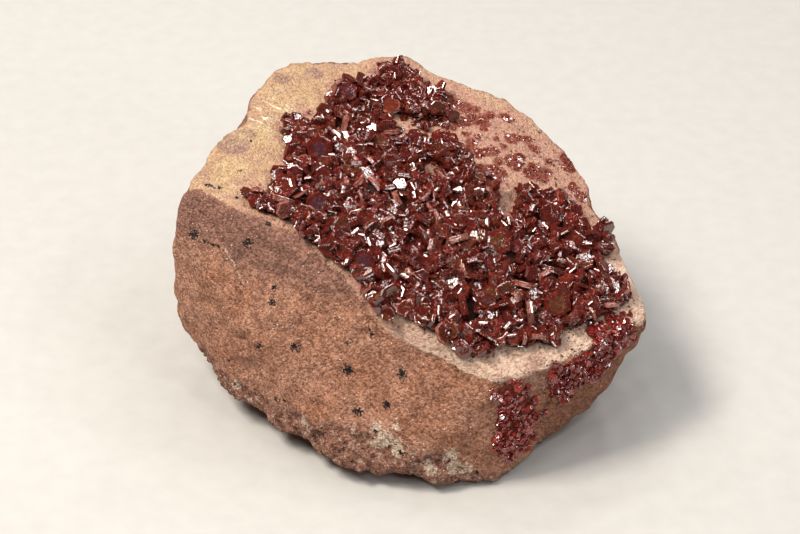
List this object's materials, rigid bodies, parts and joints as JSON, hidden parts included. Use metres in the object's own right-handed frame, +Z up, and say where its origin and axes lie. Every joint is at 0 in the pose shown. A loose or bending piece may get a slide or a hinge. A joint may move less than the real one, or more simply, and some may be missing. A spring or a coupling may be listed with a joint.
{
  "type": "vanadinite on matrix",
  "caption": "Mineral specimen: a broken sandstone block whose sloping top carries a crust of dark red hexagonal vanadinite plates, with smaller crusts and clusters beside it.",
  "frame": {"origin": "middle of the object's box, on the surface that the block rests on", "axes": "+X to the right along the block's longest side, +Y away from its broken front face, +Z up"},
  "size_m": [0.0696, 0.0648, 0.0381],
  "materials": {
    "sandstone": "fine-grained broken stone, pinkish brown with a cream bed",
    "vanadinite": "glassy deep red crystal faces"
  },
  "bodies": {
    "root": {"matrix": "sandstone", "crystal_crust": "vanadinite", "corner_crust": "vanadinite", "wall_crust": "vanadinite", "back_cluster_1": "vanadinite", "back_cluster_2": "vanadinite", "back_cluster_3": "vanadinite", "back_cluster_4": "vanadinite", "back_cluster_5": "vanadinite", "back_cluster_6": "vanadinite", "back_cluster_7": "vanadinite", "back_cluster_8": "vanadinite", "back_cluster_9": "vanadinite"}
  },
  "joints": []
}
